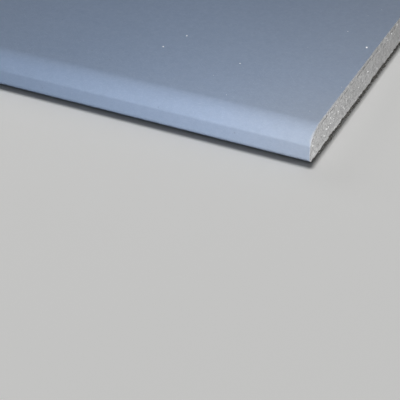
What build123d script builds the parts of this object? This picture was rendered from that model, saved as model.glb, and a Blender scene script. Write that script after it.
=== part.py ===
from build123d import *
import math
import os

# One plasterboard sheet that lies on its back: a gypsum core between a face paper and a back paper.
# X runs along the sheet, Y across it and Z up. The origin is the middle of the back, on the floor.
# All sizes are in millimetres, and angles in degrees.

# The sheet
sheet_length = 2500.0
sheet_width = 1200.0
sheet_thickness = 12.5

# The two papers
face_paper_thickness = 0.4
back_paper_thickness = 0.4
lap_width = 25.0
back_paper_margin = 8.0

# The half-round long edge, on the outside of the paper. Two curves end at a flat nose, each with a
# crease. Each angle is the one between the nose and the end of its curve.
shoulder_drop = 4.8
shoulder_crease_angle = 29.0
back_corner_rise = 1.95
back_crease_angle = 25.0

# The shoulder leaves the face smoothly and meets the nose at the upper crease.
shoulder_radius = shoulder_drop / (1 - math.sin(math.radians(shoulder_crease_angle)))
shoulder_reach = shoulder_radius * math.cos(math.radians(shoulder_crease_angle))
shoulder_centre = Vector(sheet_width / 2 - shoulder_reach, sheet_thickness - shoulder_radius)

# The back corner meets the nose at the lower crease and runs smoothly into the lap on the back.
corner_radius = back_corner_rise / (1 - math.sin(math.radians(back_crease_angle)))
corner_reach = corner_radius * math.cos(math.radians(back_crease_angle))
corner_centre = Vector(sheet_width / 2 - corner_reach, back_paper_thickness + corner_radius)


def crease_rise(radius, reach, depth):
    """Height between a curve's centre and its crease, at a depth under the paper's outside."""
    return math.sqrt((radius - depth) ** 2 - (reach - depth) ** 2)


def edge_curve(depth):
    """One long edge, from the middle of the face to the lap, at a depth under the paper's outside."""
    face = sheet_thickness - depth
    nose = sheet_width / 2 - depth
    shoulder = shoulder_radius - depth
    corner = corner_radius - depth
    upper_rise = crease_rise(shoulder_radius, shoulder_reach, depth)
    lower_rise = crease_rise(corner_radius, corner_reach, depth)
    upper_turn = math.degrees(math.asin(upper_rise / shoulder))
    lower_turn = math.degrees(math.asin(lower_rise / corner))
    return [
        Line((0, face), (shoulder_centre.X, face)),
        CenterArc(shoulder_centre, shoulder, 90, upper_turn - 90),
        Line((nose, shoulder_centre.Y + upper_rise), (nose, corner_centre.Y - lower_rise)),
        CenterArc(corner_centre, corner, -lower_turn, lower_turn - 90),
    ]


def both_edges(half):
    """The closed section that has the same curve at both long edges."""
    mirrored = [mirror(line, about=Plane.YZ) for line in half]
    return make_face(half + mirrored)


def along_the_sheet(section):
    """A solid with one section from end to end, where the sheet was cut off square."""
    return extrude(Plane.YZ * section, amount=sheet_length / 2, both=True)


def outer_section():
    """The sheet without its back paper, to the outside of the face paper."""
    back = back_paper_thickness
    half = edge_curve(0)
    half.append(Line((corner_centre.X, back), (0, back)))
    return both_edges(half)


def core_section():
    """The gypsum: it fills the folded paper, and each lap is pressed flush into its back."""
    back = back_paper_thickness
    lap_seat = back + face_paper_thickness
    lap_end = sheet_width / 2 - lap_width
    half = edge_curve(face_paper_thickness)
    half.append(Polyline((corner_centre.X, lap_seat), (lap_end, lap_seat), (lap_end, back), (0, back)))
    return both_edges(half)


def gypsum_core():
    return along_the_sheet(core_section())


def face_paper():
    """One paper over the face, round both long edges and onto the back as two laps."""
    return along_the_sheet(outer_section() - core_section())


def back_paper():
    """A flat paper that covers both laps and stops short of the long edges."""
    size = (sheet_length, sheet_width - 2 * back_paper_margin, back_paper_thickness)
    return Box(*size, align=(Align.CENTER, Align.CENTER, Align.MIN))


os.makedirs("parts", exist_ok=True)
export_step(gypsum_core(), "parts/gypsum_core.step")
export_step(face_paper(), "parts/face_paper.step")
export_step(back_paper(), "parts/back_paper.step")
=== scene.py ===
import math
import random

import bmesh
import bpy
from mathutils import Matrix, Vector, noise


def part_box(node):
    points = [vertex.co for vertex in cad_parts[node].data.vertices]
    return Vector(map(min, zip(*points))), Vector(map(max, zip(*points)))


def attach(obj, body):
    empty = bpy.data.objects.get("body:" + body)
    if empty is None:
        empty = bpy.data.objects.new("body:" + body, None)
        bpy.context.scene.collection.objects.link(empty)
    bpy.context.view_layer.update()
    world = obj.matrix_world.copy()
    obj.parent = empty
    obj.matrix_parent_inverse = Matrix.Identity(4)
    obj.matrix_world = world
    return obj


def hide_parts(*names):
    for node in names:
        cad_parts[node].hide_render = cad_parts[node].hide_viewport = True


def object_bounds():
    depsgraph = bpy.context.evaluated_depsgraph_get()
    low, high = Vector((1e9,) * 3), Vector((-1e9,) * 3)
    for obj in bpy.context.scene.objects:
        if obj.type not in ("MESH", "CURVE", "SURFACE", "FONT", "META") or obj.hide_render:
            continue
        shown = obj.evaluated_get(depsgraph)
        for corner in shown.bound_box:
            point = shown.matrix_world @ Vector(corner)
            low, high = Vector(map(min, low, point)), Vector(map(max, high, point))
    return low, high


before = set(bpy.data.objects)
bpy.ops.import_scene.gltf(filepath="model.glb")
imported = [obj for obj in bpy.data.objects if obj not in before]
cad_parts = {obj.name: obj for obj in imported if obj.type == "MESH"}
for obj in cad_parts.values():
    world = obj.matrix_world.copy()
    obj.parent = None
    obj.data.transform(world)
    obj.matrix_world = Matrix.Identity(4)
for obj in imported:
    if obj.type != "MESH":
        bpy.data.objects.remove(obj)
cad_low, cad_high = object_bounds()

# The gypsum core is wet plaster that set between the two papers, so it fills their folded edges.
# Both ends were cut through, and there the gypsum is broken: grainy, pitted by air bubbles, sunk a
# little behind the papers and bitten along its back edge. A fine grid at the ends carries that.
core_low, core_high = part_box("gypsum_core")
paper_low, paper_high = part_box("face_paper")
paper_thickness = paper_high.z - core_high.z
lap_plane = paper_low.z
lap_width = 0.025
shoulder_drop = 0.0048
shoulder_crease = math.radians(29)
back_corner_rise = 0.00195
back_crease = math.radians(25)
shoulder_radius = shoulder_drop / (1 - math.sin(shoulder_crease))
shoulder_reach = shoulder_radius * math.cos(shoulder_crease)
shoulder_centre_z = paper_high.z - shoulder_radius
corner_radius = back_corner_rise / (1 - math.sin(back_crease))
corner_reach = corner_radius * math.cos(back_crease)
corner_centre_z = lap_plane + corner_radius
curve_reach = shoulder_reach - paper_thickness
lap_edge = lap_width - paper_thickness

# The grid is finest beside the near long edge. A hair is the least length that counts.
finest_width = 0.11
fine_width = 0.3
finest_pitch = 0.0003
fine_pitch = 0.0006
plain_pitch = 0.0015
curve_columns = 24
near_rows = 42
far_rows = 16
row_crowding = 0.4
shortest_upright = 0.001
hair = 1e-6

# How deep the broken gypsum lies, and how wide its hollows are. The two cuts are numbered, and the
# numbers keep their patterns apart.
near_cut = 1
far_cut = 2
cut_apart = 3.1
seam_apart = 5.3
sunk = 0.0002
least_sunk = 0.00004
chip_depth = 0.0008
chip_reach = 0.0007
seam_depth = 0.0002
seam_inside = 0.0016
seam_width = 0.00027
seam_stretch = 0.0024
worn_depth = 0.0004
worn_height = 0.0003
bite_pitch = 0.005
bite_radius = 0.001
bite_stretch = 1.5
least_bite = 0.3


def whole_mesh(mesh):
    """Every vertex, edge and face, for an operator that takes them together."""
    return mesh.verts[:] + mesh.edges[:] + mesh.faces[:]


def split_across(mesh, low, high, pitch):
    """Cuts what lies between two places across the width into columns of about one pitch."""
    columns = max(1, round((high - low) / pitch))
    across = []
    for edge in mesh.edges:
        first, second = sorted(vert.co.y for vert in edge.verts)
        if second - first > pitch and first > low - hair and second < high + hair:
            across.append(edge)
    bmesh.ops.subdivide_edges(mesh, edges=across, cuts=columns - 1, use_grid_fill=True)


def split_upwards(mesh, end_x, rows):
    """Cuts one end of the core into rows between the back and the face."""
    upright = []
    for edge in mesh.edges:
        first, second = edge.verts
        if abs(first.co.x - end_x) < hair and abs(second.co.x - end_x) < hair:
            if abs(first.co.z - second.co.z) > shortest_upright:
                upright.append(edge)
    bmesh.ops.subdivide_edges(mesh, edges=upright, cuts=rows - 1, use_grid_fill=True)


def core_section(share):
    """Distance in from the core's nose, and the heights of its back and face, for a share of the curve."""
    radius = shoulder_radius - paper_thickness
    rise = math.sqrt(radius**2 - curve_reach**2)
    start = math.asin(rise / radius)
    angle = start + share * (math.pi / 2 - start)
    inset = curve_reach - radius * math.cos(angle)
    top = shoulder_centre_z + radius * math.sin(angle)
    inner = corner_radius - paper_thickness
    short = max(0, corner_reach - paper_thickness - inset)
    bottom = corner_centre_z - math.sqrt(inner**2 - short**2)
    return inset, bottom, top


def inset_of(y):
    """Distance of a place on a cut end from the nearer of the core's two noses."""
    return min(y - core_low.y, core_high.y - y)


def depth_inside(y, z):
    """Distance in from the wrapped surface of the core. It is negative within the papers."""
    nose_y = inset_of(y) + paper_thickness
    from_face = shoulder_radius - math.hypot(max(0, shoulder_reach - nose_y), max(0, z - shoulder_centre_z))
    from_back = corner_radius - math.hypot(max(0, corner_reach - nose_y), max(0, corner_centre_z - z))
    if inset_of(y) > lap_edge:
        from_back = z - core_low.z + paper_thickness
    return min(from_face, from_back, nose_y) - paper_thickness


def uneven(place, size, amount):
    """A value that wanders up and down by an amount, over lumps of about one size."""
    return amount * noise.noise(place / size)


def bubble_depth(place, cell, widest):
    """Depth of the air bubbles that the cut has opened: round pits of mixed sizes, one to a cell."""
    distances, centres = noise.voronoi(place / cell)
    size = widest * (0.25 + 0.75 * noise.cell(centres[0] * 7.3))
    reach = distances[0] * cell / max(size, hair)
    return size * math.sqrt(1 - reach**2) if reach < 1 else 0.0


def bite_depth(y, height, cut):
    """Depth of the bites broken out of the back edge of a cut, one to each few millimetres."""
    number = round(y / bite_pitch)
    chance = noise.cell(Vector((number + 0.5, cut + 0.5, 0.5)))
    shift = noise.cell(Vector((number + 0.5, cut + 0.5, 1.5)))
    centre = bite_pitch * (number + 0.5 * (shift - 0.5))
    radius = bite_radius * (least_bite + (1 - least_bite) * chance**2)
    reach = math.hypot((y - centre) / bite_stretch, height)
    return math.sqrt(radius**2 - reach**2) if reach < radius else 0.0


def seam_share(y, z, cut):
    """How clearly the gypsum has parted along a broken line a little inside the face paper."""
    broken = 0.5 + 2 * noise.noise(Vector((y / seam_stretch, z / seam_stretch, cut * seam_apart)))
    line = math.exp(-(((depth_inside(y, z) - seam_inside) / seam_width) ** 2))
    clear_of_back = z > core_low.z + 2 * seam_inside
    return line * min(1, max(0, broken)) if clear_of_back else 0.0


def cut_relief(y, z, cut):
    """How far the broken gypsum lies behind the plane of the cut, at one place on it."""
    place = Vector((y, z, cut * cut_apart))
    height = z - core_low.z
    grain = uneven(place, size=0.0006, amount=0.00004) + uneven(place, size=0.0019, amount=0.00006)
    swell = uneven(place, size=0.011, amount=0.00012)
    bubbles = bubble_depth(place, cell=0.0055, widest=0.0005)
    bubbles += bubble_depth(place, cell=0.0024, widest=0.00028)
    crumbled = max(0, uneven(place, size=0.0031, amount=1) + uneven(place, size=0.0009, amount=0.35))
    chips = chip_depth * crumbled * math.exp(-max(0, depth_inside(y, z)) / chip_reach)
    seam = seam_depth * seam_share(y, z, cut)
    ragged = max(0, 0.7 + uneven(place, size=0.0021, amount=1))
    worn = worn_depth * ragged * math.exp(-((height / worn_height) ** 2))
    bites = bite_depth(y, height, cut)
    return max(least_sunk, sunk + grain + swell + bubbles + chips + seam + worn + bites)


core_mesh = bmesh.new()
core_size = core_high - core_low
core_centre = (core_high + core_low) / 2
core_place = Matrix.Translation(core_centre) @ Matrix.Diagonal((*core_size, 1))
bmesh.ops.create_cube(core_mesh, size=1, matrix=core_place)
curve_pitch = curve_reach / curve_columns
fields = [
    (core_low.y + curve_reach, curve_pitch),
    (core_low.y + lap_edge, finest_pitch),
    (core_low.y + finest_width, finest_pitch),
    (core_low.y + fine_width, fine_pitch),
    (core_high.y - lap_edge, plain_pitch),
    (core_high.y - curve_reach, plain_pitch),
    (core_high.y, curve_pitch),
]
for border, pitch in fields[:-1]:
    parts = whole_mesh(core_mesh)
    bmesh.ops.bisect_plane(core_mesh, geom=parts, plane_co=(0, border, 0), plane_no=(0, 1, 0))
field_start = core_low.y
for border, pitch in fields:
    split_across(core_mesh, field_start, border, pitch)
    field_start = border
split_upwards(core_mesh, core_high.x, near_rows)
split_upwards(core_mesh, core_low.x, far_rows)
for vert in core_mesh.verts:
    nose_y, inwards = (core_high.y, -1) if vert.co.y > 0 else (core_low.y, 1)
    inset = abs(nose_y - vert.co.y)
    level = (vert.co.z - core_low.z) / core_size.z
    level -= row_crowding * math.sin(math.tau * level) / math.tau
    bottom, top = core_low.z, core_high.z
    if inset < curve_reach - hair:
        inset, bottom, top = core_section(inset / curve_reach)
        vert.co.y = nose_y + inwards * inset
    elif inset < lap_edge - hair:
        bottom = lap_plane + paper_thickness
    vert.co.z = bottom + level * (top - bottom)
# The hollow is how far the cut lies behind its plane. It moves the mesh, and the material paints shade from
# it.
hollow = core_mesh.verts.layers.float.new("hollow")
# The seam is how clearly the gypsum has parted inside the face paper. The material paints it dark, as
# painted shade in that crack.
seam = core_mesh.verts.layers.float.new("seam")
for end_x, outward, cut in ((core_high.x, 1, near_cut), (core_low.x, -1, far_cut)):
    for vert in core_mesh.verts:
        if abs(vert.co.x - end_x) < hair:
            vert[seam] = seam_share(vert.co.y, vert.co.z, cut)
            vert[hollow] = cut_relief(vert.co.y, vert.co.z, cut)
            vert.co.x -= outward * vert[hollow]
bmesh.ops.recalc_face_normals(core_mesh, faces=core_mesh.faces)


def finished_piece(mesh, name, smooth=True):
    """Turns a finished mesh into a piece of the sheet that rides with it."""
    data = bpy.data.meshes.new(name)
    mesh.to_mesh(data)
    mesh.free()
    for face in data.polygons:
        face.use_smooth = smooth
    piece = bpy.data.objects.new(name, data)
    bpy.context.scene.collection.objects.link(piece)
    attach(piece, "root")
    return piece


def colour(red, green, blue):
    """A colour as light values, from the 0 to 255 numbers that it is seen with."""
    def light(value):
        share = value / 255
        return share / 12.92 if share <= 0.04045 else ((share + 0.055) / 1.055) ** 2.4
    return (light(red), light(green), light(blue), 1)


def fill_socket(tree, socket, value):
    """Links an output to a socket, or sets the socket to a plain value."""
    if isinstance(value, bpy.types.NodeSocket):
        tree.links.new(value, socket)
    else:
        socket.default_value = value


def add_node(tree, kind, inputs=None, **settings):
    """Adds a shader node, with its settings, and fills or links its inputs."""
    made = tree.nodes.new(kind)
    for name, value in settings.items():
        setattr(made, name, value)
    for socket, value in (inputs or {}).items():
        fill_socket(tree, made.inputs[socket], value)
    return made


def tone(tree, value, low, high, start=0.0, end=1.0):
    """Stretches a value between two limits to a new start and end, and holds it there."""
    limits = {"Value": value, "From Min": low, "From Max": high, "To Min": start, "To Max": end}
    return add_node(tree, "ShaderNodeMapRange", limits).outputs["Result"]


def blend_colours(tree, mask, below, above):
    """One colour where the mask is 0 and the other where it is 1."""
    inputs = {0: mask, 6: below, 7: above}
    return add_node(tree, "ShaderNodeMix", inputs, data_type="RGBA").outputs[2]


def arithmetic(tree, operation, first, second):
    """One step of sums with values that change over the surface."""
    return add_node(tree, "ShaderNodeMath", {0: first, 1: second}, operation=operation).outputs[0]


def masked(tree, mask, strength, below, above):
    """Lays a colour over another where a mask says, at a strength."""
    return blend_colours(tree, arithmetic(tree, "MULTIPLY", mask, strength), below, above)


def noise_value(tree, place, scale, detail=4, roughness=0.6):
    """A cloudy value that changes over the surface, at a scale in turns to the metre."""
    inputs = {"Vector": place, "Scale": scale, "Detail": detail, "Roughness": roughness}
    return add_node(tree, "ShaderNodeTexNoise", inputs).outputs["Fac"]


def speckle(tree, place, scale, size, share):
    """Scattered round specks with soft rims: a mask of one speck in a share of a scale's cells."""
    cells = add_node(tree, "ShaderNodeTexVoronoi", {"Vector": place, "Scale": scale})
    parts = add_node(tree, "ShaderNodeSeparateColor", {"Color": cells.outputs["Color"]})
    spot = tone(tree, cells.outputs["Distance"], size, size * 0.6)
    chosen = tone(tree, parts.outputs["Red"], 1 - share, 1 - share * 0.9)
    return arithmetic(tree, "MULTIPLY", spot, chosen)


def height_of(tree, place):
    """Height above the floor that the sheet lies on."""
    return add_node(tree, "ShaderNodeSeparateXYZ", {"Vector": place}).outputs["Z"]


def new_material(name):
    """An empty material with its shader and the place on the piece."""
    material = bpy.data.materials.new(name)
    material.use_nodes = True
    tree = material.node_tree
    shader = tree.nodes["Principled BSDF"]
    place = add_node(tree, "ShaderNodeTexCoord").outputs["Object"]
    return material, tree, shader, place


def finish(tree, shader, body, height, roughness, relief):
    """Gives a shader its colour, its roughness and its finest relief, too fine for the mesh."""
    tree.links.new(body, shader.inputs["Base Color"])
    shader.inputs["Roughness"].default_value = roughness
    bump = add_node(tree, "ShaderNodeBump", {"Height": height, "Distance": relief, "Strength": 1.0})
    tree.links.new(bump.outputs["Normal"], shader.inputs["Normal"])


pale_foot_top = 0.0036
pale_foot_full = 0.0018
raggedness = 0.0003
# Depths behind the cut's plane over which its hollows are painted darker, as painted shade.
full_shade_depth = 0.001
first_shade_depth = 0.0004

core_material, tree, shader, place = new_material("cut_gypsum")
clouds = tone(tree, noise_value(tree, place, 150), 0.3, 0.7)
body = blend_colours(tree, clouds, colour(213, 213, 213), colour(225, 225, 225))
pale_foot = tone(tree, height_of(tree, place), pale_foot_top, pale_foot_full, end=0.55)
body = blend_colours(tree, pale_foot, body, colour(240, 240, 240))
mottle = noise_value(tree, place, 620, detail=3)
body = blend_colours(tree, tone(tree, mottle, 0.5, 0.36, end=0.4), body, colour(172, 172, 173))
body = blend_colours(tree, tone(tree, mottle, 0.52, 0.66, end=0.3), body, colour(232, 232, 232))
grains = noise_value(tree, place, 2100, detail=2, roughness=0.7)
body = blend_colours(tree, tone(tree, grains, 0.5, 0.3, end=0.6), body, colour(152, 152, 153))
body = blend_colours(tree, tone(tree, grains, 0.5, 0.7, end=0.7), body, colour(246, 246, 246))
ragged = add_node(tree, "ShaderNodeTexNoise", {"Vector": place, "Scale": 1600, "Detail": 2})
shift = {0: ragged.outputs["Color"], 1: (raggedness, raggedness, raggedness), 2: place}
ragged_place = add_node(tree, "ShaderNodeVectorMath", shift, operation="MULTIPLY_ADD").outputs[0]
# Tiny pits in the cut: they dent the bump, and their colour is painted shade, a darker grey inside each
# pit.
shaded_pits = speckle(tree, ragged_place, 760, size=0.24, share=0.35)
body = masked(tree, shaded_pits, 0.6, body, colour(112, 112, 112))
crystals = speckle(tree, place, 720, size=0.3, share=0.1)
body = blend_colours(tree, crystals, body, colour(250, 250, 250))
# Painted shade: the core is coloured darker where the cut lies deeper behind its plane, most at the bites
# and chips.
hollows = add_node(tree, "ShaderNodeAttribute", attribute_name="hollow").outputs["Fac"]
painted_hollow_shade = tone(tree, hollows, first_shade_depth, full_shade_depth, end=0.9)
body = blend_colours(tree, painted_hollow_shade, body, colour(70, 70, 72))
# Painted shade: a dark broken line along the parted seam, a little inside the face paper.
seam_painted_shade = add_node(tree, "ShaderNodeAttribute", attribute_name="seam").outputs["Fac"]
body = masked(tree, seam_painted_shade, 0.9, body, colour(92, 92, 94))
height = arithmetic(tree, "SUBTRACT", arithmetic(tree, "ADD", mottle, grains), shaded_pits)
finish(tree, shader, body, height, roughness=0.9, relief=0.00012)

gypsum_core = finished_piece(core_mesh, "cut_gypsum_core", smooth=False)
gypsum_core.data.materials.append(core_material)
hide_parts("gypsum_core")

# Hard white grains of gypsum stand half sunk in both cut ends, where the cut broke round them. Each
# is a small rough lump of plaster, and they lie closer together near the corner of the cut.
grain_count = 1000
near_share = 0.68
grain_crowding = 1.5
small_crowding = 3
smallest_grain = 0.00006
largest_grain = 0.00032
grain_clearance = 0.0004
grain_proud = 0.2
lump_inmost = 0.72
lump_outmost = 1.25
scatter = random.Random(11)


def copies_of(mesh, count):
    """Doubles a small shape until there are enough of it, and gives the points of each copy."""
    size = len(mesh.verts)
    while len(mesh.verts) < size * count:
        bmesh.ops.duplicate(mesh, geom=whole_mesh(mesh))
    groups = []
    taken = set()
    for vert in mesh.verts:
        if vert in taken:
            continue
        group = [vert]
        taken.add(vert)
        for point in group:
            joined = [edge.other_vert(point) for edge in point.link_edges]
            group += [other for other in joined if other not in taken]
            taken.update(joined)
        groups.append(group)
    spare = [vert for group in groups[count:] for vert in group]
    bmesh.ops.delete(mesh, geom=spare, context="VERTS")
    return groups[:count]


def either_end():
    """Picks an end of the sheet, more often the near one: 1 is near and -1 is far."""
    return 1 if scatter.random() < near_share else -1


def random_turn():
    """Any turn at all, for a grain or a crumb."""
    turn = Matrix.Identity(3)
    for axis in "XYZ":
        turn = turn @ Matrix.Rotation(scatter.uniform(0, math.tau), 3, axis)
    return turn


def rough_lump(points, centre, size, flatness):
    """Makes one copy of a ball a rough lump of its own size at its own place."""
    turn = random_turn()
    for vert in points:
        rough = turn @ (vert.co * size * scatter.uniform(lump_inmost, lump_outmost))
        rough.z *= flatness
        vert.co = centre + rough


grain_mesh = bmesh.new()
bmesh.ops.create_icosphere(grain_mesh, subdivisions=1, radius=1)
for points in copies_of(grain_mesh, grain_count):
    outward = either_end()
    end_x, cut = (core_high.x, near_cut) if outward > 0 else (core_low.x, far_cut)
    inside = 0
    while inside < grain_clearance:
        y = core_low.y + core_size.y * scatter.random() ** grain_crowding
        z = scatter.uniform(core_low.z, core_high.z)
        inside = depth_inside(y, z)
    size = smallest_grain + (largest_grain - smallest_grain) * scatter.random() ** small_crowding
    x = end_x - outward * (cut_relief(y, z, cut) - grain_proud * size)
    x = min(max(x, cad_low.x + size), cad_high.x - size)
    rough_lump(points, Vector((x, y, z)), size, flatness=1)

grain_material, tree, shader, place = new_material("white_gypsum_grain")
shades = tone(tree, noise_value(tree, place, 1500, detail=2), 0.35, 0.65)
body = blend_colours(tree, shades, colour(222, 222, 222), colour(250, 250, 250))
finish(tree, shader, body, shades, roughness=0.7, relief=0.00003)

gypsum_grains = finished_piece(grain_mesh, "gypsum_grains", smooth=False)
gypsum_grains.data.materials.append(grain_material)

# The face paper is one smooth blue-grey paper. It was folded round both long edges while the core
# was wet, and its laps lie on the back, under the back paper. The cut ends show its pale inside.
end_stations = [0.0004, 0.0008, 0.0018]
back_corner_pieces = 14
shoulder_pieces = 26
lap_pitch = 0.0006
shaded_edge_reach = 1.6 * paper_thickness
outer_share = 0.25
tear_depth = 0.0002
bite_share = 0.8
upper_crease_z = shoulder_centre_z + shoulder_radius * math.sin(shoulder_crease)
lower_crease_z = corner_centre_z - corner_radius * math.sin(back_crease)


def run_on(mesh, tip, end, pitch):
    """Takes the folded line straight on to its end, in pieces of about one pitch."""
    pieces = max(1, round((end - tip.co).length / pitch))
    step = (end - tip.co) / pieces
    for _ in range(pieces):
        tip = bmesh.ops.extrude_vert_indiv(mesh, verts=[tip])["verts"][0]
        tip.co += step
    return tip


def bend(mesh, tip, centre, angle, pieces):
    """Takes the folded line on round a bend."""
    spun = bmesh.ops.spin(mesh, geom=[tip], cent=centre, axis=(1, 0, 0), angle=angle, steps=pieces)
    return spun["geom_last"][0]


def laid_along(mesh, low_x, high_x):
    """Draws the folded line out along the sheet, with short steps beside both cuts."""
    line = mesh.edges[:]
    at = low_x
    stations = [low_x + sum(end_stations[:count]) for count in (1, 2, 3)]
    stations += [high_x - sum(end_stations[:count]) for count in (3, 2, 1)] + [high_x]
    for station in stations:
        grown = bmesh.ops.extrude_edge_only(mesh, edges=line)["geom"]
        moved = [part for part in grown if isinstance(part, bmesh.types.BMVert)]
        line = [part for part in grown if isinstance(part, bmesh.types.BMEdge)]
        bmesh.ops.translate(mesh, verts=moved, vec=(station - at, 0, 0))
        at = station


def thickened(mesh, thickness):
    """Gives a sheet of faces the thickness of its paper, towards its back."""
    bmesh.ops.recalc_face_normals(mesh, faces=mesh.faces)
    bmesh.ops.solidify(mesh, geom=mesh.faces[:], thickness=thickness)
    bmesh.ops.recalc_face_normals(mesh, faces=mesh.faces)


def torn_at_cuts(mesh, low_x, high_x, fringe=0.0):
    """Makes both cut edges of a paper ragged. A fringe is how far its flakes stand out at most."""
    reach = sum(end_stations)
    for vert in mesh.verts:
        gap = min(vert.co.x - low_x, high_x - vert.co.x)
        if gap < reach - hair:
            cut, outward = (near_cut, 1) if vert.co.x > 0 else (far_cut, -1)
            place = Vector((vert.co.y, vert.co.z, cut))
            tear = 0.6 + uneven(place, size=0.0012, amount=0.6) + uneven(place, size=0.0045, amount=0.5)
            flake = 0.15 + uneven(place, size=0.0017, amount=0.9) + uneven(place, size=0.0006, amount=0.6)
            bite = bite_depth(vert.co.y, max(0, vert.co.z - core_low.z), cut)
            torn_back = tear_depth * max(0, tear) + bite_share * bite - fringe * max(0, flake)
            vert.co.x -= outward * (1 - gap / reach) * torn_back


fold = bmesh.new()
near_nose = paper_low.y
far_nose = paper_high.y
start_x = paper_low.x
tip = bmesh.ops.create_vert(fold, co=(start_x, near_nose + lap_width, lap_plane))["vert"][0]
tip = run_on(fold, tip, Vector((start_x, near_nose + corner_reach, lap_plane)), lap_pitch)
corner_centre = (start_x, near_nose + corner_reach, corner_centre_z)
tip = bend(fold, tip, corner_centre, back_crease - math.pi / 2, back_corner_pieces)
tip = run_on(fold, tip, Vector((start_x, near_nose, upper_crease_z)), lap_pitch)
shoulder_centre = (start_x, near_nose + shoulder_reach, shoulder_centre_z)
tip = bend(fold, tip, shoulder_centre, shoulder_crease - math.pi / 2, shoulder_pieces)
tip = run_on(fold, tip, Vector((start_x, near_nose + finest_width, paper_high.z)), finest_pitch)
tip = run_on(fold, tip, Vector((start_x, near_nose + fine_width, paper_high.z)), fine_pitch)
tip = run_on(fold, tip, Vector((start_x, far_nose - shoulder_reach, paper_high.z)), plain_pitch)
shoulder_centre = (start_x, far_nose - shoulder_reach, shoulder_centre_z)
tip = bend(fold, tip, shoulder_centre, shoulder_crease - math.pi / 2, shoulder_pieces)
tip = run_on(fold, tip, Vector((start_x, far_nose, lower_crease_z)), lap_pitch)
corner_centre = (start_x, far_nose - corner_reach, corner_centre_z)
tip = bend(fold, tip, corner_centre, back_crease - math.pi / 2, back_corner_pieces)
tip = run_on(fold, tip, Vector((start_x, far_nose - lap_width, lap_plane)), lap_pitch)
laid_along(fold, paper_low.x, paper_high.x)
thickened(fold, paper_thickness)
# The low cut edges of the laps get the dark edge material, which is painted shade: the shadow line along
# the foot of the cut.
blue_outside = 0
pale_inside = 1
shaded_edge = 2
for face in fold.faces:
    middle = face.calc_center_median()
    below_outside = paper_thickness + depth_inside(middle.y, middle.z)
    if below_outside < outer_share * paper_thickness:
        face.material_index = blue_outside
    else:
        face.material_index = pale_inside if middle.z > lap_plane + shaded_edge_reach else shaded_edge
torn_at_cuts(fold, paper_low.x, paper_high.x)


def new_effect(name, inputs, outputs):
    """An empty surface effect that materials share, with named inputs and outputs."""
    group = bpy.data.node_groups.new(name, "ShaderNodeTree")
    for socket, kind in inputs.items():
        group.interface.new_socket(socket, in_out="INPUT", socket_type=kind)
    for socket in outputs:
        group.interface.new_socket(socket, in_out="OUTPUT", socket_type="NodeSocketFloat")
    return group, add_node(group, "NodeGroupInput").outputs


fibre_size = (0.0022, 0.00028, 0.00028)
fibre_turns = (0.2, -0.7, 1.3)

fibre_outputs = ("Cloud", "Fibre", "Fleck")
fibres, given = new_effect("paper_fibres", {"Place": "NodeSocketVector"}, fibre_outputs)
strand = 0.0
for turn in fibre_turns:
    turning = {"Vector": given["Place"], "Rotation": (0, 0, turn), "Scale": fibre_size}
    turned = add_node(fibres, "ShaderNodeMapping", turning, vector_type="TEXTURE").outputs[0]
    lying = tone(fibres, noise_value(fibres, turned, 1, detail=1), 0.55, 0.75)
    strand = arithmetic(fibres, "MAXIMUM", strand, lying)
cloud = noise_value(fibres, given["Place"], 420, detail=3)
fleck = speckle(fibres, given["Place"], 210, size=0.07, share=0.25)
add_node(fibres, "NodeGroupOutput", {"Cloud": cloud, "Fibre": strand, "Fleck": fleck})

sheen_reach = 0.14
rubbed_reach = 0.035
rubbed_start = 0.01

# Shared effect: gypsum dust and grit near the cuts, a rubbed patch by the near corner, and painted sheen, a
# pale veil that fades over 14 cm from the cuts.
dust_inputs = {"Place": "NodeSocketVector", "Reach": "NodeSocketFloat"}
dust_and_sheen, given = new_effect("gypsum_dust_and_sheen", dust_inputs, ("Dust", "Painted Sheen", "Rubbed"))
apart = add_node(dust_and_sheen, "ShaderNodeSeparateXYZ", {"Vector": given["Place"]}).outputs
from_cut = arithmetic(dust_and_sheen, "SUBTRACT", cad_high.x, arithmetic(dust_and_sheen, "ABSOLUTE", apart["X"], 0))
from_edge = arithmetic(dust_and_sheen, "SUBTRACT", cad_high.y, arithmetic(dust_and_sheen, "ABSOLUTE", apart["Y"], 0))
nearness = arithmetic(dust_and_sheen, "SUBTRACT", 1, arithmetic(dust_and_sheen, "DIVIDE", from_cut, given["Reach"]))
drift = noise_value(dust_and_sheen, given["Place"], 700, detail=5, roughness=0.75)
rough_drift = tone(dust_and_sheen, drift, 0.3, 0.7, start=0.1, end=0.9)
film = tone(dust_and_sheen, arithmetic(dust_and_sheen, "ADD", nearness, rough_drift), 0.95, 1.4)
grit = speckle(dust_and_sheen, given["Place"], 200, size=0.045, share=0.06)
fading = arithmetic(dust_and_sheen, "POWER", tone(dust_and_sheen, from_cut, sheen_reach, 0), 2)
painted_sheen = arithmetic(dust_and_sheen, "MULTIPLY", fading, tone(dust_and_sheen, drift, 0.2, 0.8, start=0.7, end=1.3))
beside_cut = tone(dust_and_sheen, from_cut, rubbed_reach, 0)
beside_edge = tone(dust_and_sheen, from_edge, rubbed_reach, rubbed_start)
rubbed = arithmetic(dust_and_sheen, "MULTIPLY", beside_cut, beside_edge)
powdered = arithmetic(dust_and_sheen, "MAXIMUM", film, grit)
add_node(dust_and_sheen, "NodeGroupOutput", {"Dust": powdered, "Painted Sheen": painted_sheen, "Rubbed": rubbed})


def grouped(tree, group, place):
    """Places a shared surface effect in a material."""
    return add_node(tree, "ShaderNodeGroup", {"Place": place}, node_tree=group)


dust_on_face = 0.0007
dust_on_shoulder = 0.0017
nose_share = 0.3
flat_z = paper_high.z - 0.0002
steep_z = paper_high.z - 0.002
nose_top_z = upper_crease_z - 0.0002
clear_of_nose_z = upper_crease_z + 0.0015

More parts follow.
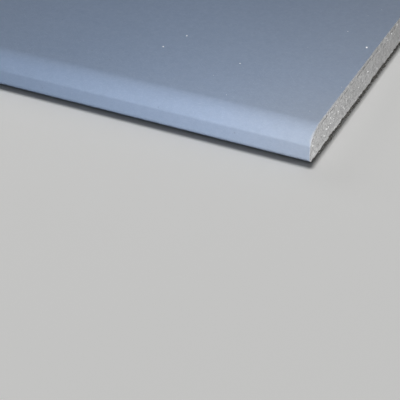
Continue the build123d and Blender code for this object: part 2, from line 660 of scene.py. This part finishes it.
face_material, tree, shader, place = new_material("blue_face_paper")
paper = grouped(tree, fibres, place).outputs
powder_and_sheen = grouped(tree, dust_and_sheen, place)
height_above = height_of(tree, place)
on_shoulder = tone(tree, height_above, flat_z, steep_z, dust_on_face, dust_on_shoulder)
above_nose = tone(tree, height_above, nose_top_z, clear_of_nose_z, start=nose_share)
tree.links.new(arithmetic(tree, "MULTIPLY", on_shoulder, above_nose), powder_and_sheen.inputs["Reach"])
broad = tone(tree, noise_value(tree, place, 9, detail=5), 0.3, 0.7)
body = blend_colours(tree, broad, colour(119, 136, 162), colour(124, 141, 167))
streak_place = add_node(tree, "ShaderNodeMapping", {"Vector": place, "Scale": (6, 160, 160)}).outputs[0]
streaks = tone(tree, noise_value(tree, streak_place, 1), 0.35, 0.75)
body = masked(tree, streaks, 0.2, body, colour(131, 148, 171))
clouding = tone(tree, paper["Cloud"], 0.35, 0.7)
body = masked(tree, clouding, 0.35, body, colour(112, 129, 152))
body = masked(tree, paper["Fibre"], 0.25, body, colour(150, 165, 186))
body = masked(tree, paper["Fleck"], 0.5, body, colour(88, 98, 114))
# Painted sheen: the pale veil near the cuts stands in for the light's sheen on the paper.
body = masked(tree, powder_and_sheen.outputs["Painted Sheen"], 0.12, body, colour(225, 225, 226))
body = masked(tree, powder_and_sheen.outputs["Rubbed"], 0.22, body, colour(142, 145, 147))
body = masked(tree, powder_and_sheen.outputs["Dust"], 0.85, body, colour(158, 162, 169))
shader.inputs["Specular IOR Level"].default_value = 0.25
height = arithmetic(tree, "ADD", paper["Fibre"], paper["Cloud"])
finish(tree, shader, body, height, roughness=0.6, relief=0.00003)


def torn_plies(name, layers, dark, light):
    """A paper's torn edge, where its plies show as finer or coarser layers."""
    material, tree, shader, place = new_material(name)
    layered = add_node(tree, "ShaderNodeMapping", {"Vector": place, "Scale": (900, 900, layers)}).outputs[0]
    ply = noise_value(tree, layered, 1, detail=3)
    body = blend_colours(tree, tone(tree, ply, 0.35, 0.65), dark, light)
    finish(tree, shader, body, ply, roughness=0.95, relief=0.0001)
    return material


inside_material = torn_plies("pale_paper_inside", 7000, colour(205, 207, 211), colour(240, 241, 244))
# The dark edge material is painted shade: near-black paper plies for the shadow line along the foot of the
# cut.
shaded_edge_material = torn_plies("paper_edge_painted_shade", 4000, colour(54, 53, 51), colour(92, 90, 86))

face_paper = finished_piece(fold, "wrapped_face_paper")
face_paper.data.materials.append(face_material)
face_paper.data.materials.append(inside_material)
face_paper.data.materials.append(shaded_edge_material)
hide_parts("face_paper")

# The back paper is a plain grey-buff paper, glued flat over the core and over both laps of the face
# paper. It stops a few millimetres short of the long edges, so a strip of the blue laps stays bare.
back_low, back_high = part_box("back_paper")
longest_flake = 0.001
back_dust_reach = 0.003

liner = bmesh.new()
start_x = back_low.x
tip = bmesh.ops.create_vert(liner, co=(start_x, back_high.y, back_low.z))["vert"][0]
tip = run_on(liner, tip, Vector((start_x, back_low.y + fine_width, back_low.z)), plain_pitch)
tip = run_on(liner, tip, Vector((start_x, back_low.y + finest_width, back_low.z)), fine_pitch)
tip = run_on(liner, tip, Vector((start_x, back_low.y, back_low.z)), finest_pitch)
laid_along(liner, back_low.x, back_high.x)
thickened(liner, back_high.z - back_low.z)
# All but the outside of the back paper, its cut edges too, gets the dark edge material: painted shade along
# the foot of the cut.
buff_outside = 0
shaded_edge = 1
for face in liner.faces:
    above_outside = face.calc_center_median().z - back_low.z
    hidden = above_outside > outer_share * paper_thickness
    face.material_index = shaded_edge if hidden else buff_outside
torn_at_cuts(liner, back_low.x, back_high.x, longest_flake)

back_material, tree, shader, place = new_material("buff_back_paper")
paper = grouped(tree, fibres, place).outputs
powder_and_sheen = grouped(tree, dust_and_sheen, place)
powder_and_sheen.inputs["Reach"].default_value = back_dust_reach
broad = tone(tree, noise_value(tree, place, 12, detail=5), 0.3, 0.7)
body = blend_colours(tree, broad, colour(168, 160, 148), colour(182, 175, 163))
clouding = tone(tree, paper["Cloud"], 0.35, 0.7)
body = masked(tree, clouding, 0.5, body, colour(158, 150, 138))
body = masked(tree, paper["Fibre"], 0.5, body, colour(201, 195, 184))
body = masked(tree, paper["Fleck"], 0.8, body, colour(104, 96, 86))
body = masked(tree, powder_and_sheen.outputs["Dust"], 0.6, body, colour(214, 214, 212))
height = arithmetic(tree, "ADD", paper["Fibre"], paper["Cloud"])
finish(tree, shader, body, height, roughness=0.85, relief=0.00005)

back_paper = finished_piece(liner, "glued_back_paper")
back_paper.data.materials.append(back_material)
back_paper.data.materials.append(shaded_edge_material)
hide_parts("back_paper")

# Small slivers of paper stand out of the cut edges of both papers, where the cut pulled their plies
# apart. Each is a short pointed strip that curls away from the cut.
sliver_count = 900
face_share = 0.6
sliver_crowding = 2
shortest_sliver = 0.0002
longest_sliver = 0.0007
sliver_width = 0.00008
sliver_thickness = 0.00003
sliver_point = 0.15
sliver_curl = 0.3


def face_height(y):
    """Height of the middle of the face paper over a place across the width."""
    short = max(0, shoulder_reach - (inset_of(y) + paper_thickness))
    return shoulder_centre_z + math.sqrt(shoulder_radius**2 - short**2) - paper_thickness / 2


sliver_mesh = bmesh.new()
bmesh.ops.create_cone(sliver_mesh, segments=4, radius1=1, radius2=sliver_point, depth=1, cap_ends=True)
for points in copies_of(sliver_mesh, sliver_count):
    outward = either_end()
    on_face = scatter.random() < face_share
    y = core_low.y + core_size.y * scatter.random() ** sliver_crowding
    if not on_face:
        y = max(y, back_low.y + sliver_width)
    z = face_height(y) if on_face else back_low.z + paper_thickness / 2
    root = Vector((outward * (cad_high.x - paper_thickness), y, z))
    rise = scatter.uniform(-0.4, 0.2) if on_face else scatter.uniform(0, 0.5)
    curl = sliver_curl if on_face else -sliver_curl
    direction = Vector((outward, scatter.uniform(-0.9, 0.9), rise)).normalized()
    across = direction.cross(Vector((0, 0, 1))).normalized()
    upwards = across.cross(direction)
    length = scatter.uniform(shortest_sliver, longest_sliver)
    for vert in points:
        along = vert.co.z + 0.5
        lift = vert.co.y * sliver_thickness - curl * length * along**2
        sideways = vert.co.x * sliver_width
        vert.co = root + direction * (along * length) + across * sideways + upwards * lift

slivers = finished_piece(sliver_mesh, "torn_paper_slivers", smooth=False)
slivers.data.materials.append(inside_material)

# Crumbs of gypsum fell on the face when the ends were cut, and a few lie there still, most of them
# near the cuts. A few larger ones lie by the near corner, each at a place in from its two edges.
corner_crumbs = [(0.0034, 0.061), (0.071, 0.032), (0.067, 0.043), (0.04, 0.032), (0.014, 0.07)]
corner_crumb_size = 0.00038
corner_crumb_step = 0.00005
crumb_count = 90
crumb_clearance = 0.001
crumb_drift = 0.03
crumb_crowding = 2
smallest_crumb = 0.00004
largest_crumb = 0.00011
crumb_flatness = 0.7
crumb_rise = 0.3


def set_crumb(points, outward, from_cut, from_edge, size):
    """Sets one crumb on the face, at a place in from a cut and from the near long edge."""
    x = outward * (cad_high.x - from_cut)
    centre = Vector((x, cad_low.y + from_edge, cad_high.z + crumb_rise * size))
    rough_lump(points, centre, size, crumb_flatness)


crumb_mesh = bmesh.new()
bmesh.ops.create_icosphere(crumb_mesh, subdivisions=1, radius=1)
crumb_copies = copies_of(crumb_mesh, crumb_count + len(corner_crumbs))
for number, (from_cut, from_edge) in enumerate(corner_crumbs):
    size = corner_crumb_size - number * corner_crumb_step
    set_crumb(crumb_copies[number], 1, from_cut, from_edge, size)
flat_width = core_size.y - 2 * shoulder_reach
for points in crumb_copies[len(corner_crumbs) :]:
    outward = either_end()
    from_cut = crumb_clearance + scatter.expovariate(1 / crumb_drift)
    from_edge = shoulder_reach + flat_width * scatter.random() ** crumb_crowding
    size = scatter.uniform(smallest_crumb, largest_crumb)
    set_crumb(points, outward, from_cut, from_edge, size)

crumbs = finished_piece(crumb_mesh, "gypsum_crumbs", smooth=False)
crumbs.data.materials.append(grain_material)

# The stage is a plain pale floor under soft studio light, and it isn't part of the sheet. The floor
# glows a little where the camera sees it. The glow is left out under the sheet and fades in just
# round its outline, which paints a narrow contact shadow there. The camera stands close to one
# corner and looks down on it.
floor_size = 40
floor_glow = 0.42
painted_shadow_start = 0.0004
painted_shadow_end = 0.0022
world_light = 0.16
world_shown = 0.55

floor_mesh = bmesh.new()
bmesh.ops.create_grid(floor_mesh, x_segments=1, y_segments=1, size=floor_size)
floor_data = bpy.data.meshes.new("floor")
floor_mesh.to_mesh(floor_data)
floor_mesh.free()
floor = bpy.data.objects.new("floor", floor_data)
bpy.context.scene.collection.objects.link(floor)


def vector_step(tree, operation, first, second=(0, 0, 0)):
    """One step of sums with places."""
    return add_node(tree, "ShaderNodeVectorMath", {0: first, 1: second}, operation=operation).outputs


floor_material, tree, shader, place = new_material("pale_floor")
shades = noise_value(tree, place, 30, detail=6)
body = blend_colours(tree, shades, colour(203, 203, 201), colour(209, 209, 207))
tree.links.new(body, shader.inputs["Base Color"])
shader.inputs["Roughness"].default_value = 0.9
shader.inputs["Emission Color"].default_value = (1, 1, 0.99, 1)
# Painted contact shadow: no glow under the sheet, rising to full from 0.4 to 2.2 mm round its outline.
middle_out = vector_step(tree, "ABSOLUTE", place)[0]
beyond = vector_step(tree, "SUBTRACT", middle_out, cad_high)[0]
outside = vector_step(tree, "MAXIMUM", beyond)[0]
from_sheet = vector_step(tree, "LENGTH", outside)["Value"]
clear = tone(tree, from_sheet, painted_shadow_start, painted_shadow_end, end=floor_glow)
rays = add_node(tree, "ShaderNodeLightPath").outputs
shown = arithmetic(tree, "MAXIMUM", rays["Is Camera Ray"], rays["Is Glossy Ray"])
tree.links.new(arithmetic(tree, "MULTIPLY", shown, clear), shader.inputs["Emission Strength"])
floor_data.materials.append(floor_material)

world = bpy.data.worlds.new("studio")
bpy.context.scene.world = world
world.use_nodes = True
tree = world.node_tree
rays = add_node(tree, "ShaderNodeLightPath").outputs
strength = tone(tree, rays["Is Camera Ray"], 0, 1, world_light, world_shown)
background = tree.nodes["Background"]
background.inputs["Color"].default_value = (1, 1, 1, 1)
tree.links.new(strength, background.inputs["Strength"])


def soft_lamp(name, place, target, width, depth, power):
    """A soft rectangular lamp that faces a target."""
    light = bpy.data.lights.new(name, "AREA")
    light.shape = "RECTANGLE"
    light.size = width
    light.size_y = depth
    light.energy = power
    lamp = bpy.data.objects.new(name, light)
    lamp.location = place
    lamp.rotation_euler = (Vector(target) - Vector(place)).to_track_quat("-Z", "Y").to_euler()
    lamp.visible_camera = False
    bpy.context.scene.collection.objects.link(lamp)
    return lamp


corner = Vector((cad_high.x, cad_low.y, cad_high.z))
front_place = Vector((1.6, -3.0, 0.6))
front_target = Vector((0.3, -0.3, 0))
front_softbox = soft_lamp("front_softbox", front_place, front_target, width=2.6, depth=1.4, power=31)
top_place = Vector((-0.5, 0.2, 0.8))
top_target = Vector((-0.5, 0.2, 0))
soft_lamp("top_softbox", top_place, top_target, width=2.0, depth=0.8, power=7.5)
lamp_place = corner + Vector((0.087, -0.202, 0.1665))
lamp_target = corner + Vector((-0.04, -0.01, 0))
corner_lamp = soft_lamp("corner_lamp", lamp_place, lamp_target, width=0.08, depth=0.08, power=0.25)
corner_lamp.data.spread = math.radians(90)

# The corner lamp and the front softbox light the sheet alone, so that no patch of light is seen on
# the floor.
lit_pieces = bpy.data.collections.new("sheet_pieces")
for piece in (gypsum_core, gypsum_grains, face_paper, back_paper, slivers, crumbs):
    lit_pieces.objects.link(piece)
for lamp in (corner_lamp, front_softbox):
    lamp.light_linking.receiver_collection = lit_pieces

# The camera stands beyond the cut and before the long edge, and it is measured from their corner.
beyond_cut = 0.09917
before_edge = 0.25754
eye_height = 0.19052
view_turn = math.radians(28.53)
view_drop = math.radians(36.467)
view_roll = math.radians(-2.2555)
lens = bpy.data.cameras.new("camera")
lens.sensor_width = 36
lens.lens = 92.77
lens.clip_start = 0.01
lens.clip_end = 200
camera = bpy.data.objects.new("camera", lens)
stand = Matrix.Translation((corner.x + beyond_cut, corner.y - before_edge, eye_height))
turned = Matrix.Rotation(view_turn, 4, "Z") @ Matrix.Rotation(math.pi / 2 - view_drop, 4, "X")
camera.matrix_world = stand @ turned @ Matrix.Rotation(view_roll, 4, "Z")
bpy.context.scene.collection.objects.link(camera)
bpy.context.scene.camera = camera
bpy.context.scene.view_settings.view_transform = "Standard"
